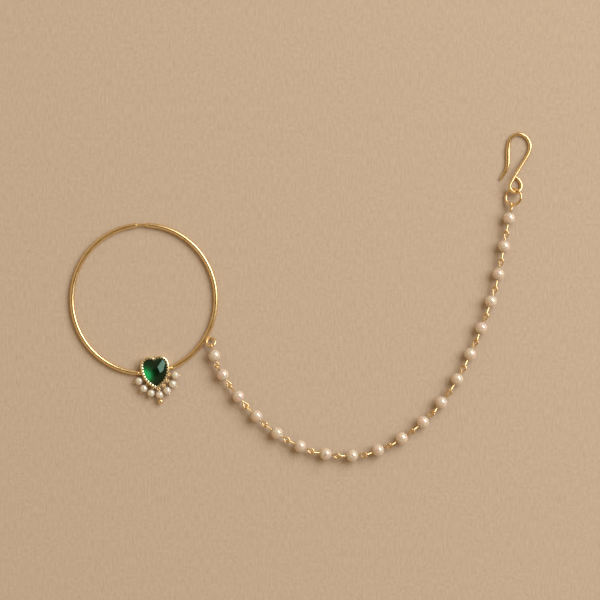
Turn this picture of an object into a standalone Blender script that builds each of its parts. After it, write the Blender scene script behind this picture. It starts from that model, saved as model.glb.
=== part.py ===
"""A nath: an open nose ring with a heart setting, a pearl fringe and a pearl chain that ends in a hook.

It lies flat. Z = 0 is the surface that it lies on, and the origin is the middle of the setting's
flat back. The hoop stands above the origin along +Y, and the chain runs away from it along +X.
All sizes are in metres and all angles in degrees.
"""

import math

import bmesh
import bpy
from mathutils import Matrix, Vector
from mathutils.geometry import interpolate_bezier

# Hoop, measured on the middle line of its wire
HOOP_WIDTH = 0.03890
HOOP_HEIGHT = 0.04010
HOOP_WIRE = 0.00125
WIRE_LIFT = 0.00005
SETTING_TURN = 9.0
MOUTH_TURN = 5.7

# Post that slides into the hoop's bored end
POST_WIRE = 0.00085
POST_SHOWING = 0.0030
POST_INSERT = 0.0020
POST_CLEARANCE = 0.00006
BORE_DEPTH = 0.0030

# Heart outline of the stone: two lobes, two long sides and a round tip
HEART_TURN = 5.5
LOBE_RADIUS = 0.00195
LOBE_SPREAD = 0.00135
STONE_LENGTH = 0.0077
TIP_RADIUS = 0.00045
SIDE_LEAN = -4.0

# Setting
SETTING_HEIGHT = 0.0023
SETTING_WALL = 0.00055
SETTING_LEAN = 0.00024
SEAT_HEIGHT = 0.00125
STONE_CLEARANCE = 0.00006
TOOTH_REACH = 0.00016
SOLDER_BALL = 0.00105
DOME_HEIGHT = 0.00165

# Fringe
FRINGE_PEARLS = 7
FRINGE_PEARL = 0.0021
FRINGE_BORE = 0.0005
FRINGE_PITCH = 25.3
FRINGE_SIDE_GAP = 0.00182
FRINGE_TIP_GAP = 0.00175
FRINGE_ACROSS = 0.00025
FRINGE_DOWN = 0.00026
FRINGE_MIDDLE_DROP = 0.0003
FRINGE_WIRE = 0.00034
FRINGE_EYE = 0.00098
FRINGE_EYE_TILT = 9.0
FRINGE_HEAD = 0.0004
DROP_BALL = 0.0014

# Eyelet soldered to the hoop, where the chain starts
EYELET = 0.00295
EYELET_WIRE = 0.0006
EYELET_TURN = -32.0
EYELET_TILT = 25.0
CHAIN_START_TURN = -78.0
SOLDER_SINK = 0.0002

# Chain of pearls on eye pins
CHAIN_PEARLS = 19
CHAIN_PEARL = 0.0033
CHAIN_BORE = 0.0007
PIN_WIRE = 0.00045
PIN_NECK = 0.00006
LOOP_WIDTH = 0.0017
LOOP_CLEARANCE = 0.00012
LOOP_STRETCH_FIRST = 0.00031
LOOP_STRETCH_SECOND = 0.00019
LOOP_STRETCH_NEAR = 0.00094
LOOP_STRETCH_FAR = 0.00115
LOOP_STRETCH_LAST = 0.00142
LONGER_LOOPS_FROM = 12
LOOP_ROLL_SWAY = 14.0

# Ring and hook at the chain's end
RING = 0.0051
RING_WIRE = 0.0007
RING_TILT = 27.0
RING_RISE_TURN = -20.0
HOOK_WIRE = 0.0009
HOOK_WIDTH = 0.00594
HOOK_LENGTH = 0.0171
HOOK_EYE_RISE = 0.00175

# Ease between touching pieces that are free to move
EASE = 0.00005

# Fineness of the meshes. Wires are rolled so that no flat of theirs lies level
WIRE_ROLL = 17.0
HOOP_STEP = 6.0
LOBE_STEPS = 16
SIDE_STEPS = 11
TIP_STEPS = 3
BEAD_SIDES = 12
BEAD_BANDS = 5
LOOP_STEPS = 8
ROUTE_STEPS = 24
HOOK_STEPS = 3

# How the chain lies: chosen points of its route from the first joint, across and along
CHAIN_ROUTE = [
    (0.0, 0.0),
    (0.00151, -0.00567),
    (0.00506, -0.01117),
    (0.01480, -0.02183),
    (0.02758, -0.02889),
    (0.04189, -0.02966),
    (0.05439, -0.02329),
    (0.06452, -0.01252),
    (0.07147, 0.00105),
    (0.07672, 0.01551),
    (0.07969, 0.03036),
    (0.08126, 0.03840),
]

# The setting's section, from its back round the rim to the seat: out as a share of the wall
# beyond the stone's edge, up as a share of the setting's height, tooth as a share of the reach
CUP_SECTION = [
    {"out": 0.78, "up": 0.00, "tooth": 0.0},
    {"out": 1.00, "up": 0.13, "tooth": 0.0},
    {"out": 1.00, "up": 0.42, "tooth": 0.0},
    {"out": 0.72, "up": 0.84, "tooth": 0.0},
    {"out": 0.36, "up": 1.00, "tooth": 0.0},
    {"out": 0.06, "up": 0.98, "tooth": 1.0},
    {"out": 0.10, "up": 0.90, "tooth": 0.8},
]

# The stone's dome: how far in each ring lies, as a share of the outline
DOME_RINGS = [0.0, 0.10, 0.26, 0.46, 0.68, 0.86]

# The hook's bends, from its tip round the bow to the tucked end of its eye: across as a share
# of its width, along as a share of its length, lift as a share of the eye's rise
HOOK_BENDS = [
    {"across": -0.564, "along": 0.286, "lift": 0.00},
    {"across": -0.428, "along": 0.361, "lift": 0.00},
    {"across": -0.313, "along": 0.430, "lift": 0.00},
    {"across": -0.246, "along": 0.511, "lift": 0.00},
    {"across": -0.232, "along": 0.657, "lift": 0.00},
    {"across": -0.222, "along": 0.787, "lift": 0.00},
    {"across": -0.100, "along": 0.934, "lift": 0.00},
    {"across": 0.254, "along": 1.000, "lift": 0.00},
    {"across": 0.604, "along": 0.945, "lift": 0.00},
    {"across": 0.768, "along": 0.828, "lift": 0.02},
    {"across": 0.709, "along": 0.706, "lift": 0.10},
    {"across": 0.286, "along": 0.454, "lift": 0.50},
    {"across": -0.109, "along": 0.226, "lift": 0.92},
    {"across": -0.173, "along": 0.165, "lift": 1.00},
    {"across": -0.096, "along": 0.107, "lift": 0.90},
    {"across": 0.118, "along": 0.075, "lift": 0.50},
    {"across": 0.313, "along": 0.110, "lift": 0.16},
    {"across": 0.372, "along": 0.193, "lift": 0.04},
    {"across": 0.270, "along": 0.270, "lift": 0.00},
    {"across": 0.092, "along": 0.322, "lift": 0.00},
]

FINISHES = {
    "gold": {"colour": (0.78, 0.55, 0.22, 1.0), "roughness": 0.22, "metallic": 1.0},
    "pearl": {"colour": (0.90, 0.84, 0.76, 1.0), "roughness": 0.25, "metallic": 0.0},
    "emerald": {"colour": (0.0, 0.20, 0.08, 1.0), "roughness": 0.08, "metallic": 0.0},
}


def clear_scene():
    for thing in list(bpy.data.objects):
        bpy.data.objects.remove(thing, do_unlink=True)


def make_collection(name):
    collection = bpy.data.collections.new(name)
    bpy.context.scene.collection.children.link(collection)
    return collection


def make_finish(name):
    finish = bpy.data.materials.new(name)
    finish.use_nodes = True
    shader = finish.node_tree.nodes["Principled BSDF"]
    shader.inputs["Base Color"].default_value = FINISHES[name]["colour"]
    shader.inputs["Roughness"].default_value = FINISHES[name]["roughness"]
    shader.inputs["Metallic"].default_value = FINISHES[name]["metallic"]
    return finish


def heading(degrees):
    """A level unit vector, turned anticlockwise from +X."""
    return Vector((math.cos(math.radians(degrees)), math.sin(math.radians(degrees)), 0.0))


def link_frame(place, along):
    """A matrix whose Z runs along a pin and whose Y points up."""
    along = along.normalized()
    side = Vector((0.0, 0.0, 1.0)).cross(along).normalized()
    rise = along.cross(side)
    turn = Matrix((side, rise, along)).transposed().to_4x4()
    return Matrix.Translation(place) @ turn


def curve_between(before, start, stop, after, steps):
    """Points of a smooth curve from start up to stop, evened out for points unevenly far apart."""
    gap_before = math.sqrt((start - before).length)
    gap = math.sqrt((stop - start).length)
    gap_after = math.sqrt((after - stop).length)
    leave = stop - start
    leave += gap * ((start - before) / gap_before - (stop - before) / (gap_before + gap))
    arrive = stop - start
    arrive += gap * ((after - stop) / gap_after - (after - start) / (gap + gap_after))
    return interpolate_bezier(start, start + leave / 3, stop - arrive / 3, stop, steps + 1)[:-1]


def smooth_path(points, steps):
    """A smooth curve through all the points, with its ends led on by mirrored neighbours."""
    led = [2 * points[0] - points[1]] + points + [2 * points[-1] - points[-2]]
    path = []
    for i in range(len(points) - 1):
        path += curve_between(led[i], led[i + 1], led[i + 2], led[i + 3], steps)
    return path + [points[-1]]


def wire_curve(name, points, diameter, bevel_resolution, thins=None):
    """A round wire along the points. thins gives its thickness there, as shares of the diameter."""
    curve = bpy.data.curves.new(name, "CURVE")
    curve.dimensions = "3D"
    curve.bevel_depth = diameter / 2
    curve.bevel_resolution = bevel_resolution
    curve.use_fill_caps = True
    spline = curve.splines.new("POLY")
    spline.points.add(len(points) - 1)
    for i, point in enumerate(points):
        spline.points[i].co = (*point, 1.0)
        spline.points[i].radius = thins[i] if thins else 1.0
        spline.points[i].tilt = math.radians(WIRE_ROLL)
    spline.use_smooth = True
    return bpy.data.objects.new(name, curve)


def as_solid(wire, collection):
    """The closed mesh of a wire, for use in a Boolean."""
    collection.objects.link(wire)
    graph = bpy.context.evaluated_depsgraph_get()
    mesh = bpy.data.meshes.new_from_object(wire.evaluated_get(graph))
    shape = bmesh.new()
    shape.from_mesh(mesh)
    bmesh.ops.remove_doubles(shape, verts=shape.verts, dist=1e-7)
    shape.to_mesh(mesh)
    shape.free()
    name = wire.name
    matrix = wire.matrix_world.copy()
    bpy.data.objects.remove(wire)
    solid = bpy.data.objects.new(name, mesh)
    solid.matrix_world = matrix
    collection.objects.link(solid)
    return solid


def hide_as_cutter(thing):
    thing.hide_render = True
    thing.display_type = "WIRE"


def combine(base, other, operation):
    """Joins a hidden solid to the base, or cuts it away."""
    hide_as_cutter(other)
    boolean = base.modifiers.new(f"{operation.lower()} {other.name}", "BOOLEAN")
    boolean.operation = operation
    boolean.solver = "EXACT"
    boolean.object = other


def adopt(thing, collection):
    """Moves an object that a Blender operator has just made into the given collection."""
    for holder in list(thing.users_collection):
        holder.objects.unlink(thing)
    collection.objects.link(thing)


def ball(name, place, diameter, collection):
    bpy.ops.mesh.primitive_uv_sphere_add(segments=10, ring_count=6, radius=diameter / 2, location=place)
    made = bpy.context.object
    made.name = name
    adopt(made, collection)
    return made


def wire_ring(name, matrix, outside, wire, segments, sides, collection):
    """A round ring of wire in the level plane of the matrix."""
    bpy.ops.mesh.primitive_torus_add(
        major_radius=(outside - wire) / 2,
        minor_radius=wire / 2,
        major_segments=segments,
        minor_segments=sides,
    )
    made = bpy.context.object
    made.name = name
    made.matrix_world = matrix
    adopt(made, collection)
    return made


def tilted_plane(place, tilt, rise_turn):
    """A plane through the place that climbs by tilt towards rise_turn."""
    climb = heading(rise_turn)
    return Matrix.Translation(place) @ Matrix.Rotation(
        math.radians(tilt), 4, Vector((climb.y, -climb.x, 0.0))
    )


def loft(rings, mesh_name):
    """A closed mesh through rings of equal count, with a flat cap on the first and the last."""
    shape = bmesh.new()
    made = [[shape.verts.new(point) for point in ring] for ring in rings]
    count = len(made[0])
    for lower, upper in zip(made, made[1:]):
        for i in range(count):
            j = (i + 1) % count
            shape.faces.new((lower[i], lower[j], upper[j], upper[i]))
    shape.faces.new(reversed(made[0]))
    shape.faces.new(made[-1])
    bmesh.ops.recalc_face_normals(shape, faces=shape.faces)
    mesh = bpy.data.meshes.new(mesh_name)
    shape.to_mesh(mesh)
    shape.free()
    return mesh


def arc(centre, radius, start, stop, steps):
    """Points from start to stop, both in degrees, without the last one."""
    turns = [start + (stop - start) * i / steps for i in range(steps)]
    return [centre + radius * heading(turn) for turn in turns]


def heart_outline(offset):
    """The heart's outline, tip down, grown outwards by offset: every arc keeps its centre."""
    lobe = Vector((LOBE_SPREAD, STONE_LENGTH / 2 - LOBE_RADIUS, 0.0))
    tip = Vector((0.0, TIP_RADIUS - STONE_LENGTH / 2, 0.0))
    lean = heading(-SIDE_LEAN)
    drop = tip - lobe
    step = LOBE_RADIUS - TIP_RADIUS
    reach = (drop.length_squared - step**2) / (2 * (step - drop.dot(lean)))
    centre = lobe - reach * lean
    to_tip = tip - centre
    tip_turn = math.degrees(math.atan2(to_tip.y, to_tip.x))
    cleft_turn = math.degrees(math.acos(-LOBE_SPREAD / (LOBE_RADIUS + offset)))
    half = arc(lobe, LOBE_RADIUS + offset, cleft_turn, -SIDE_LEAN, LOBE_STEPS)
    half += arc(centre, LOBE_RADIUS + reach + offset, -SIDE_LEAN, tip_turn, SIDE_STEPS)
    half += arc(tip, TIP_RADIUS + offset, tip_turn, -90.0, TIP_STEPS)
    low_point = tip - Vector((0.0, TIP_RADIUS + offset, 0.0))
    mirrored = [Vector((-point.x, point.y, 0.0)) for point in half[:0:-1]]
    return half + [low_point] + mirrored


def turn_matrix(degrees):
    return Matrix.Rotation(math.radians(degrees), 4, "Z")


def hoop_centre():
    bottom = math.radians(SETTING_TURN - 90.0)
    return Vector(
        (
            -HOOP_WIDTH / 2 * math.cos(bottom),
            -HOOP_HEIGHT / 2 * math.sin(bottom),
            WIRE_LIFT + HOOP_WIRE / 2,
        )
    )


def hoop_point(turn):
    """The point of the hoop's middle line at a turn from +X."""
    way = heading(turn)
    return hoop_centre() + Vector((HOOP_WIDTH / 2 * way.x, HOOP_HEIGHT / 2 * way.y, 0.0))


def hoop_turn(length):
    """The turn that a length along the hoop takes."""
    return math.degrees(length / (HOOP_HEIGHT / 2))


def hoop_arc(start, stop):
    steps = max(1, round(abs(stop - start) / HOOP_STEP))
    return [hoop_point(start + (stop - start) * i / steps) for i in range(steps + 1)]


def make_hoop_wires(guides):
    """The bored end of the hoop, and the wire with the post that slides into it."""
    middle = SETTING_TURN - 90.0
    root = hoop_turn(0.75 * (LOBE_SPREAD + LOBE_RADIUS))
    mouth = 90.0 + MOUTH_TURN
    tube = as_solid(
        wire_curve("bored_wire", hoop_arc(middle - root, mouth - 360.0), HOOP_WIRE, 2), guides
    )
    bore_path = hoop_arc(mouth - hoop_turn(POST_SHOWING / 2), mouth + hoop_turn(BORE_DEPTH))
    bore_wire = POST_WIRE + 2 * POST_CLEARANCE
    combine(tube, as_solid(wire_curve("post_bore", bore_path, bore_wire, 2), guides), "DIFFERENCE")

    shoulder = mouth - hoop_turn(POST_SHOWING)
    wire_points = hoop_arc(middle + root, shoulder)
    chamfer = hoop_turn((HOOP_WIRE - POST_WIRE) / 2)
    post_points = hoop_arc(shoulder + chamfer, mouth + hoop_turn(POST_INSERT))
    thins = [1.0] * len(wire_points) + [POST_WIRE / HOOP_WIRE] * len(post_points)
    post = as_solid(wire_curve("post_wire", wire_points + post_points, HOOP_WIRE, 2, thins), guides)
    return tube, post


def make_cup(guides):
    """The setting: a solid base with a flat back, a flared wall and a rim cut into small teeth."""
    rings = []
    for row in CUP_SECTION:
        outline = heart_outline(row["out"] * SETTING_WALL)
        inner = heart_outline(row["out"] * SETTING_WALL - row["tooth"] * TOOTH_REACH)
        ring = [inner[i] if i % 2 else point for i, point in enumerate(outline)]
        move = Vector((SETTING_LEAN * (row["up"] - 0.5), 0.0, row["up"] * SETTING_HEIGHT))
        rings.append([point + move for point in ring])
    for height in (CUP_SECTION[-1]["up"] * SETTING_HEIGHT - EASE, SEAT_HEIGHT):
        move = Vector((SETTING_LEAN / 2, 0.0, height))
        rings.append([point + move for point in heart_outline(STONE_CLEARANCE)])
    cup = bpy.data.objects.new("cup", loft(rings, "cup"))
    cup.matrix_world = turn_matrix(HEART_TURN)
    guides.objects.link(cup)
    return cup


def make_stone(collection):
    """A domed heart on an upright girdle, with every second point of the setting's outline."""
    outline = heart_outline(0.0)[::2]
    bottom = SEAT_HEIGHT + STONE_CLEARANCE
    girdle = CUP_SECTION[3]["up"] * SETTING_HEIGHT - EASE
    rings = [[point + Vector((0.0, 0.0, bottom)) for point in outline]]
    for inset in DOME_RINGS:
        share = 1.0 - inset
        height = girdle + DOME_HEIGHT * (1.0 - share**2)
        rings.append([Vector((share * point.x, share * point.y, height)) for point in outline])
    stone = bpy.data.objects.new("heart_stone", loft(rings, "heart_stone"))
    stone.matrix_world = turn_matrix(HEART_TURN) @ Matrix.Translation((SETTING_LEAN / 2, 0.0, 0.0))
    collection.objects.link(stone)
    return stone


def fringe_place(index):
    """The centre of a fringe pearl, and the level way outwards from the setting through it."""
    turn = (index - (FRINGE_PEARLS - 1) / 2) * FRINGE_PITCH
    side = math.sin(math.radians(turn))
    down = math.cos(math.radians(turn))
    across = FRINGE_ACROSS + (LOBE_SPREAD + LOBE_RADIUS + FRINGE_SIDE_GAP) * side
    along = -FRINGE_DOWN - (STONE_LENGTH / 2 + FRINGE_TIP_GAP) * down
    if index == FRINGE_PEARLS // 2:
        along -= FRINGE_MIDDLE_DROP
    turned = turn_matrix(SETTING_TURN)
    return turned @ Vector((across, along, FRINGE_PEARL / 2)), turned @ Vector((side, -down, 0.0))


def make_fringe_wires(index, guides):
    """What holds one fringe pearl: an eye on the setting's wall, a wire through the pearl and its head."""
    centre, out = fringe_place(index)
    pearl = FRINGE_PEARL / 2
    eye_middle = (FRINGE_EYE - FRINGE_WIRE) / 2
    eye_centre = centre - out * (pearl + EASE + FRINGE_EYE / 2)
    eye_plane = tilted_plane(eye_centre, FRINGE_EYE_TILT, math.degrees(math.atan2(out.y, out.x)))
    head = DROP_BALL if index == FRINGE_PEARLS // 2 else FRINGE_HEAD
    head_centre = centre + out * (pearl + EASE + head / 2)
    root = eye_centre - out * (FRINGE_EYE / 2 + SETTING_WALL)
    stub = [root, eye_centre - out * eye_middle]
    peg = [eye_centre + out * eye_middle, head_centre]
    return [
        wire_ring(f"fringe_eye_{index + 1}", eye_plane, FRINGE_EYE, FRINGE_WIRE, 12, 6, guides),
        as_solid(wire_curve(f"fringe_stub_{index + 1}", stub, FRINGE_WIRE, 1), guides),
        as_solid(wire_curve(f"fringe_peg_{index + 1}", peg, FRINGE_WIRE, 1), guides),
        ball(f"fringe_head_{index + 1}", head_centre, head, guides),
    ]


def eyelet_centre():
    """The eyelet sits on the hoop's outer side and climbs towards the chain."""
    away = heading(EYELET_TURN)
    place = hoop_point(EYELET_TURN) + away * ((HOOP_WIRE + EYELET) / 2 - SOLDER_SINK)
    return place + Vector((0.0, 0.0, (EYELET - EYELET_WIRE) / 2 * math.sin(math.radians(EYELET_TILT))))


def make_hoop_and_setting(collection, guides):
    """All the soldered gold, as one solid."""
    body, post = make_hoop_wires(guides)
    solder = hoop_turn(LOBE_SPREAD + LOBE_RADIUS + SETTING_WALL + 0.8 * SOLDER_BALL)
    parts = [make_cup(guides), post]
    for side in (-1, 1):
        place = hoop_point(SETTING_TURN - 90.0 + side * solder)
        place.z += HOOP_WIRE / 2 - SOLDER_BALL / 4
        parts.append(ball(f"solder_ball_{side}", place, SOLDER_BALL, guides))
    eyelet_plane = tilted_plane(eyelet_centre(), EYELET_TILT, CHAIN_START_TURN)
    parts.append(wire_ring("eyelet", eyelet_plane, EYELET, EYELET_WIRE, 16, 8, guides))
    for index in range(FRINGE_PEARLS):
        parts += make_fringe_wires(index, guides)
    for part in parts:
        combine(body, part, "UNION")
    body.name = "hoop_and_setting"
    adopt(body, collection)
    return body


def bead_mesh(name, diameter, bore):
    """Half a bead's section, closed along its bore, to be turned about Z."""
    radius = diameter / 2
    edge = math.degrees(math.asin(bore / diameter))
    turns = [90.0 - edge - (180.0 - 2 * edge) * i / BEAD_BANDS for i in range(BEAD_BANDS + 1)]
    section = [(radius * heading(turn).x, 0.0, radius * heading(turn).y) for turn in turns]
    count = len(section)
    edges = [(i, (i + 1) % count) for i in range(count)]
    mesh = bpy.data.meshes.new(name)
    mesh.from_pydata(section, edges, [])
    return mesh


def make_bead(name, mesh, matrix, collection):
    bead = bpy.data.objects.new(name, mesh)
    bead.matrix_world = matrix
    collection.objects.link(bead)
    turned = bead.modifiers.new("turned", "SCREW")
    turned.axis = "Z"
    turned.steps = BEAD_SIDES
    turned.render_steps = BEAD_SIDES
    turned.use_merge_vertices = False
    turned.use_smooth_shade = True
    return bead


def loop_stretch(joint):
    """How much longer than wide the loops at a joint are."""
    if joint == 0:
        return LOOP_STRETCH_FIRST
    if joint == 1:
        return LOOP_STRETCH_SECOND
    if joint == CHAIN_PEARLS:
        return LOOP_STRETCH_LAST
    return LOOP_STRETCH_FAR if joint >= LONGER_LOOPS_FROM else LOOP_STRETCH_NEAR


def joint_reach(joint):
    """The distance from a joint to the centre of the pearl beside it."""
    loop = LOOP_WIDTH - PIN_WIRE + loop_stretch(joint)
    return CHAIN_PEARL / 2 + PIN_NECK + loop - (PIN_WIRE + LOOP_CLEARANCE) / 2


def first_joint():
    """Where the first loop hangs in the eyelet: just inside the eyelet's wire."""
    climb = heading(CHAIN_START_TURN) * math.cos(math.radians(EYELET_TILT))
    climb.z = math.sin(math.radians(EYELET_TILT))
    inside = (EYELET_WIRE + PIN_WIRE) / 2 + LOOP_CLEARANCE - (PIN_WIRE + LOOP_CLEARANCE) / 2
    return eyelet_centre() + climb * ((EYELET - EYELET_WIRE) / 2 - inside)


def chain_joints():
    """The joints between the links, one reach after the other along the route."""
    start = first_joint()
    rest = CHAIN_PEARL / 2
    route = [Vector((start.x + across, start.y + along, rest)) for across, along in CHAIN_ROUTE]
    path = smooth_path(route, ROUTE_STEPS)
    run_out = (path[-1] - path[-2]).normalized()
    joints = [start]
    here = 0
    for pin in range(CHAIN_PEARLS):
        length = joint_reach(pin) + joint_reach(pin + 1)
        while here < len(path) and (path[here] - joints[-1]).length < length:
            here += 1
        if here < len(path):
            near, far = path[here - 1], path[here]
            from_near = (near - joints[-1]).length
            from_far = (far - joints[-1]).length
            joints.append(near.lerp(far, (length - from_near) / (from_far - from_near)))
        else:
            joints.append(joints[-1] + run_out * length)
    return joints


def loop_points(joint, roll):
    """A teardrop loop from the pin's neck round to its open end, in a plane rolled about the pin."""
    radius = (LOOP_WIDTH - PIN_WIRE) / 2
    neck = CHAIN_PEARL / 2 + PIN_NECK
    centre = neck + radius + loop_stretch(joint)
    lean = math.degrees(math.asin(radius / (centre - neck)))
    straight = math.sqrt((centre - neck) ** 2 - radius**2)
    opening = 1.6 * PIN_WIRE
    short_of = max(0.0, math.degrees((opening - straight) / radius))
    stop = lean + 90.0 - short_of
    flat = [(neck, 0.0)]
    for i in range(LOOP_STEPS + 1):
        way = heading(lean + 90.0 - (lean + 90.0 + stop) * i / LOOP_STEPS)
        flat.append((centre + radius * way.x, radius * way.y))
    if straight > opening:
        way = heading(-lean)
        flat.append((neck + opening * way.x, opening * way.y))
    across = heading(roll)
    return [Vector((out * across.x, out * across.y, along)) for along, out in flat]


def pin_rolls(pin):
    """The roll of a pin's two loops: one near upright, one near level, each swayed a little."""
    sway = LOOP_ROLL_SWAY * math.sin(2.4 * pin)
    last = pin == CHAIN_PEARLS - 1
    return 90.0 + sway, 68.0 if last else sway


def make_eye_pin(pin, frame, collection):
    """A straight wire through the pearl with a loop at each end."""
    start_roll, end_roll = pin_rolls(pin)
    flip = Matrix.Diagonal((1.0, 1.0, -1.0, 1.0))
    start = [flip @ point for point in reversed(loop_points(pin, start_roll))]
    points = start + loop_points(pin + 1, end_roll)
    wire = wire_curve(f"eye_pin_{pin + 1:02d}", points, PIN_WIRE, 1)
    wire.matrix_world = frame
    collection.objects.link(wire)
    return wire


def make_chain(collection, gold, pearl):
    joints = chain_joints()
    mesh = bead_mesh("chain_pearl", CHAIN_PEARL, CHAIN_BORE)
    for pin in range(CHAIN_PEARLS):
        along = (joints[pin + 1] - joints[pin]).normalized()
        frame = link_frame(joints[pin] + along * joint_reach(pin), along)
        bead = make_bead(f"chain_pearl_{pin + 1:02d}", mesh, frame, collection)
        finish(bead, pearl)
        finish(make_eye_pin(pin, frame, collection), gold)
    return joints


def make_ring_and_hook(joints, collection, gold):
    """The last link hangs in a tilted ring, and the ring holds the hook's eye."""
    along = (joints[-1] - joints[-2]).normalized()
    inside = (RING_WIRE + PIN_WIRE) / 2 + LOOP_CLEARANCE - (PIN_WIRE + LOOP_CLEARANCE) / 2
    centre = joints[-1] + along * ((RING - RING_WIRE) / 2 - inside)
    plane = tilted_plane(centre, RING_TILT, RING_RISE_TURN)
    finish(wire_ring("hook_ring", plane, RING, RING_WIRE, 16, 8, collection), gold)

    bends = [
        Vector(
            (
                centre.x + row["across"] * HOOK_WIDTH,
                centre.y + row["along"] * HOOK_LENGTH,
                HOOK_WIRE / 2 + row["lift"] * HOOK_EYE_RISE,
            )
        )
        for row in HOOK_BENDS
    ]
    hook = wire_curve("hair_hook", smooth_path(bends, HOOK_STEPS), HOOK_WIRE, 2)
    collection.objects.link(hook)
    finish(hook, gold)


def make_fringe_pearls(collection, pearl):
    mesh = bead_mesh("fringe_pearl", FRINGE_PEARL, FRINGE_BORE)
    for index in range(FRINGE_PEARLS):
        centre, out = fringe_place(index)
        bead = make_bead(f"fringe_pearl_{index + 1}", mesh, link_frame(centre, out), collection)
        finish(bead, pearl)


def finish(thing, material):
    """Gives an object its material and smooth shading across shallow edges."""
    if thing.type == "MESH" and thing.data.polygons:
        thing.data.shade_smooth()
        thing.data.set_sharp_from_angle(angle=math.radians(40.0))
    thing.data.materials.clear()
    thing.data.materials.append(material)


def main():
    clear_scene()
    pieces = make_collection("nath")
    guides = make_collection("guides")
    gold = make_finish("gold")
    pearl = make_finish("pearl")
    emerald = make_finish("emerald")
    finish(make_hoop_and_setting(pieces, guides), gold)
    finish(make_stone(pieces), emerald)
    make_fringe_pearls(pieces, pearl)
    joints = make_chain(pieces, gold, pearl)
    make_ring_and_hook(joints, pieces, gold)


main()
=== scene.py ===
"""The looks of a nath: an open nose ring with a heart setting, a pearl fringe and a pearl chain.

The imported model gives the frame. Z = 0 is the surface that the piece lies on, the origin is the
middle of the setting's flat back, the hoop stands along +Y and the chain runs away along +X.
Every faceted solid is replaced here by a fine one of the same size in the same place. Sizes are
in metres and angles in degrees.
"""

import logging
import math
from collections.abc import Sequence
from dataclasses import dataclass, field
from enum import Enum
from typing import NamedTuple

import bmesh
import bpy
from mathutils import Matrix, Vector, noise
from mathutils.geometry import interpolate_bezier

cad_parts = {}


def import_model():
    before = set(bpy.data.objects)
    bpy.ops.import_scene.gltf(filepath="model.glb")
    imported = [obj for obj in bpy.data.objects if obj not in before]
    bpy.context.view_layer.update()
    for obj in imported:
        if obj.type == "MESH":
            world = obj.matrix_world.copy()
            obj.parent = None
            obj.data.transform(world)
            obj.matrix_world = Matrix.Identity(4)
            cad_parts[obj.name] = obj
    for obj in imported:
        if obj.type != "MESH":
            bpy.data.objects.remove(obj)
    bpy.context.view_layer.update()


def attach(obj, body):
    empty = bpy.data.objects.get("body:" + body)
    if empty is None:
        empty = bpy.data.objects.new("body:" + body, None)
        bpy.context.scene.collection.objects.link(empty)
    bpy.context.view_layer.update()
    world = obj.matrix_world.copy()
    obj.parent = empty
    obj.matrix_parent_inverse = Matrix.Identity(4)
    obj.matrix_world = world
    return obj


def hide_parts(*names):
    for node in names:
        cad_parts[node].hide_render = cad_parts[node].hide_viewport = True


LOG = logging.getLogger("nath")
BODY = "root"
GOLD_SOLID = "hoop_and_setting"
UP = Vector((0.0, 0.0, 1.0))
NOISE_LOW, NOISE_HIGH = 0.3, 0.7
SHARP_ANGLE = 50.0
BALL_SIDES = 24
BALL_TO_POLE = 50

Colour = tuple[float, float, float, float]
Stops = Sequence[tuple[float, Colour]]
Ring = list[Vector]


class Slot(Enum):
    """The record's material slots."""

    GOLD = "gold"
    PEARL = "pearl"
    EMERALD = "emerald"


class LoopPlane(Enum):
    """How a loop of an eye pin stands, as its roll from level."""

    UPRIGHT = 90.0
    LEVEL = 0.0
    LEANING = 68.0


def fill_ramp(ramp: bpy.types.ColorRamp, stops: Stops) -> None:
    """Gives a new colour ramp its stops.

    Args:
        ramp: the ramp.
        stops: the value and colour of each stop, in order.
    """
    while len(ramp.elements) < len(stops):
        ramp.elements.new(0.5)
    for element, (place, colour) in zip(ramp.elements, stops):
        element.position = place
        element.color = colour


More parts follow.
